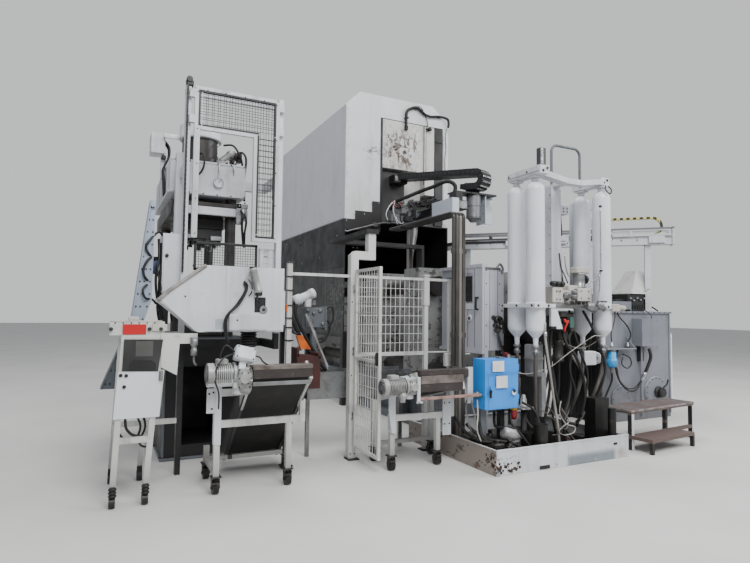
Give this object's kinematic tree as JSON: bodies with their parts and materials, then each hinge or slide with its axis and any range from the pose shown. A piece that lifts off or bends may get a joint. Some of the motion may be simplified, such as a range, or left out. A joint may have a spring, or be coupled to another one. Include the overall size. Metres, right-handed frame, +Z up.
{
  "type": "die casting machine",
  "caption": "Cold chamber die casting cell: machine with hood and shot end, oil tank, trim press, conveyors and mesh fence.",
  "frame": {"origin": "on the floor under the machine's long axis, at the fixed platen's front face", "axes": "+Y along the casting machine from the shot end to the closing end, +Z up, +X to the right"},
  "size_m": [8.4691, 8.0867, 5.48],
  "materials": {
    "white_paint": "satin",
    "tray_paint": "satin",
    "grey_panel": "satin",
    "machine_grey": "satin",
    "bare_steel": "satin",
    "dark_paint": "satin",
    "black_plastic": "matte",
    "belt_rubber": "matte",
    "chain_yellow": "matte",
    "blue_paint": "satin",
    "pipe_brown": "matte",
    "elevator_blue": "satin"
  },
  "bodies": {
    "cell": {"drip_tray": "tray_paint", "machine_bed": "machine_grey", "fixed_platen": "bare_steel", "moving_platen": "bare_steel", "rear_platen": "bare_steel", "tie_bars": "bare_steel", "closing_cylinder": "machine_grey", "housing_frame": "dark_paint", "closing_housing": "dark_paint", "hood": "white_paint", "hood_panel": "white_paint", "hood_skirt": "machine_grey", "robot_arm": "dark_paint", "energy_chain": "black_plastic", "spray_head": "bare_steel", "shot_frame": "machine_grey", "shot_cylinder": "machine_grey", "manifold": "machine_grey", "flange_plates": "white_paint", "left_bottles": "white_paint", "right_bottles": "white_paint", "yoke": "white_paint", "mast": "grey_panel", "ladder_hoop": "machine_grey", "pump_set": "machine_grey", "shot_guard": "grey_panel", "pipe_bundle": "pipe_brown", "fence_frame": "white_paint", "fence_mesh": "white_paint", "duct_post": "white_paint", "cable_tray": "machine_grey", "cabinet_body": "blue_paint", "cabinet_stand": "dark_paint", "oil_tank": "machine_grey", "tank_lid": "machine_grey", "tank_box": "machine_grey", "tank_pipes": "bare_steel", "steps": "dark_paint", "gantry_beam": "white_paint", "gantry_columns": "white_paint", "gantry_chain": "chain_yellow", "conveyor_frames": "white_paint", "conveyor_belts": "belt_rubber", "conveyor_drives": "white_paint", "transfer_trough": "bare_steel", "press_base": "machine_grey", "press_columns": "bare_steel", "press_crown": "white_paint", "press_cylinder": "machine_grey", "door_rails": "white_paint", "chute_hood": "white_paint", "press_boxes": "white_paint", "elevator": "elevator_blue", "stand_frame": "white_paint", "stand_panel": "white_paint"},
    "gate": {"mesh_gate": "white_paint"},
    "cabinet_leaf": {"cabinet_door": "blue_paint"},
    "guard_door": {"safety_door": "grey_panel"},
    "ram": {"press_ram": "bare_steel"},
    "lift_door": {"press_door": "white_paint"}
  },
  "joints": [
    {"name": "gate_hinge", "type": "hinge", "parent": "cell", "child": "gate", "pos_m": [-2.28, -0.87, 0.14], "axis": [0, 0, 1], "range_deg": [-90, 0]},
    {"name": "cabinet_hinge", "type": "hinge", "parent": "cell", "child": "cabinet_leaf", "pos_m": [-0.708, -1.689, 0.59], "axis": [0, 0, 1], "range_deg": [0, 110]},
    {"name": "guard_slide", "type": "slide", "parent": "cell", "child": "guard_door", "axis": [0, 1, 0], "range_m": [0, 0.43]},
    {"name": "ram_slide", "type": "slide", "parent": "cell", "child": "ram", "axis": [0, 0, -1], "range_m": [0, 0.5]},
    {"name": "lift_door_slide", "type": "slide", "parent": "cell", "child": "lift_door", "axis": [0, 0, -1], "range_m": [0, 1.1]}
  ]
}
